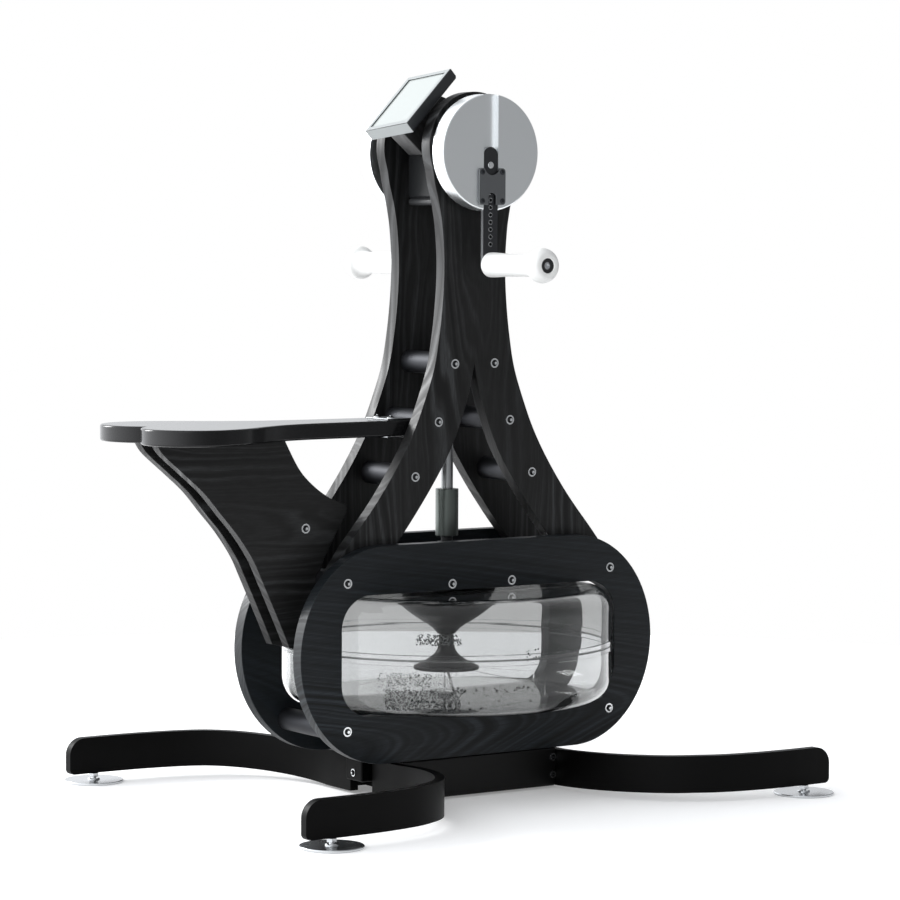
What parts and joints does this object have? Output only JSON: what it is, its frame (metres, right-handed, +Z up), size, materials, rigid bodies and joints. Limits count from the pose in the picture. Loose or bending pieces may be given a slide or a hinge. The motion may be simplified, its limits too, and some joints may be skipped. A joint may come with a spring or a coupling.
{
  "type": "water grinder ergometer",
  "caption": "Arm ergometer with hand cranks on a wooden tower, a bevel gear drive down to a paddle in a clear water tank, a fixed seat and a four-legged base.",
  "frame": {"origin": "On the floor under the middle of the model's box, between the four feet.", "axes": "+Z up; the crank axle runs along Y; the seat is towards -X, so the user faces +X."},
  "size_m": [1.0242, 0.777, 1.0925],
  "materials": {
    "stained_wood": "black stained ash, open grain, satin",
    "lacquered_wood": "black lacquer, semi-gloss",
    "clear_shell": "clear polished polycarbonate",
    "seal_rubber": "matt",
    "dark_steel": "black oxide, satin",
    "bright_steel": "bright, satin",
    "satin_aluminium": "turned, satin",
    "anodised_aluminium": "dark grey anodised",
    "white_grip": "matt white",
    "powder_coat": "black powder coat, satin",
    "cast_housing": "black painted casting",
    "black_plastic": "fine satin",
    "display_glass": "light grey liquid crystal screen"
  },
  "bodies": {
    "frame": {"side_panel_right": "stained_wood", "side_panel_left": "stained_wood", "tower_panel_right": "stained_wood", "tower_panel_left": "stained_wood", "rung_upper_rear": "dark_steel", "rung_upper_front": "dark_steel", "rung_middle_rear": "dark_steel", "rung_middle_front": "dark_steel", "rung_lower_rear": "dark_steel", "rung_lower_front": "dark_steel", "spacer_top_rear": "dark_steel", "spacer_top_front": "dark_steel", "spacer_bottom_rear": "dark_steel", "spacer_bottom_front": "dark_steel", "tank_upper_shell": "clear_shell", "tank_lower_shell": "clear_shell", "tank_seal": "seal_rubber", "tank_beam": "powder_coat", "shaft_bearing_housing": "black_plastic", "gearbox_housing": "cast_housing", "gearbox_base_plate": "cast_housing", "axle_bearing_right": "dark_steel", "axle_bearing_left": "dark_steel", "display_bracket": "stained_wood", "seat_board": "lacquered_wood", "seat_support_right": "stained_wood", "seat_support_left": "stained_wood", "seat_support_spacer": "dark_steel", "seat_clip_top": "bright_steel", "seat_clip_bottom": "bright_steel", "base_rail_right": "powder_coat", "base_rail_left": "powder_coat", "base_spine": "powder_coat", "leg_rear_right": "powder_coat", "leg_rear_left": "powder_coat", "leg_front_right": "powder_coat", "leg_front_left": "powder_coat"},
    "crank": {"crank_axle": "dark_steel", "crown_gear": "bright_steel", "crank_disc_right": "satin_aluminium", "crank_disc_left": "satin_aluminium", "clamp_plate_right": "anodised_aluminium", "clamp_plate_left": "anodised_aluminium"},
    "rotor": {"drive_shaft": "dark_steel", "bevel_pinion": "bright_steel", "shaft_coupling": "dark_steel", "paddle": "black_plastic"},
    "arm_right": {"crank_arm_right": "anodised_aluminium", "handle_spindle_right": "bright_steel"},
    "arm_left": {"crank_arm_left": "anodised_aluminium", "handle_spindle_left": "bright_steel"},
    "grip_right": {"handle_grip_right": "white_grip"},
    "grip_left": {"handle_grip_left": "white_grip"},
    "display": {"display_housing": "black_plastic", "display_screen": "display_glass"},
    "levelling_foot_rear_right": {"foot_rear_right": "bright_steel"},
    "levelling_foot_rear_left": {"foot_rear_left": "bright_steel"},
    "levelling_foot_front_right": {"foot_front_right": "bright_steel"},
    "levelling_foot_front_left": {"foot_front_left": "bright_steel"}
  },
  "joints": [
    {"name": "crank_spin", "type": "hinge", "parent": "frame", "child": "crank", "pos_m": [0.04285, 0, 0.967], "axis": [0, 1, 0], "continuous": true},
    {"name": "rotor_spin", "type": "hinge", "parent": "frame", "child": "rotor", "pos_m": [0.04285, 0, 0.2253], "axis": [0, 0, 1], "continuous": true},
    {"name": "arm_slide_right", "type": "slide", "parent": "crank", "child": "arm_right", "axis": [0, 0, 1], "range_m": [0, 0.055]},
    {"name": "arm_slide_left", "type": "slide", "parent": "crank", "child": "arm_left", "axis": [0, 0, 1], "range_m": [0, 0.055]},
    {"name": "grip_spin_right", "type": "hinge", "parent": "arm_right", "child": "grip_right", "pos_m": [0.04285, -0.18, 0.8], "axis": [0, 1, 0], "continuous": true},
    {"name": "grip_spin_left", "type": "hinge", "parent": "arm_left", "child": "grip_left", "pos_m": [0.04285, 0.18, 0.8], "axis": [0, 1, 0], "continuous": true},
    {"name": "display_swivel", "type": "hinge", "parent": "frame", "child": "display", "pos_m": [-0.03145, 0, 1.0461], "axis": [-0.6743, 0, 0.7385], "range_deg": [-99, 81]},
    {"name": "foot_level_rear_right", "type": "slide", "parent": "frame", "child": "levelling_foot_rear_right", "axis": [0, 0, -1], "range_m": [0, 0.012]},
    {"name": "foot_level_rear_left", "type": "slide", "parent": "frame", "child": "levelling_foot_rear_left", "axis": [0, 0, -1], "range_m": [0, 0.012]},
    {"name": "foot_level_front_right", "type": "slide", "parent": "frame", "child": "levelling_foot_front_right", "axis": [0, 0, -1], "range_m": [0, 0.012]},
    {"name": "foot_level_front_left", "type": "slide", "parent": "frame", "child": "levelling_foot_front_left", "axis": [0, 0, -1], "range_m": [0, 0.012]}
  ],
  "couplings": [
    {"joint": "rotor_spin", "follows": "crank_spin", "ratio": 2}
  ]
}
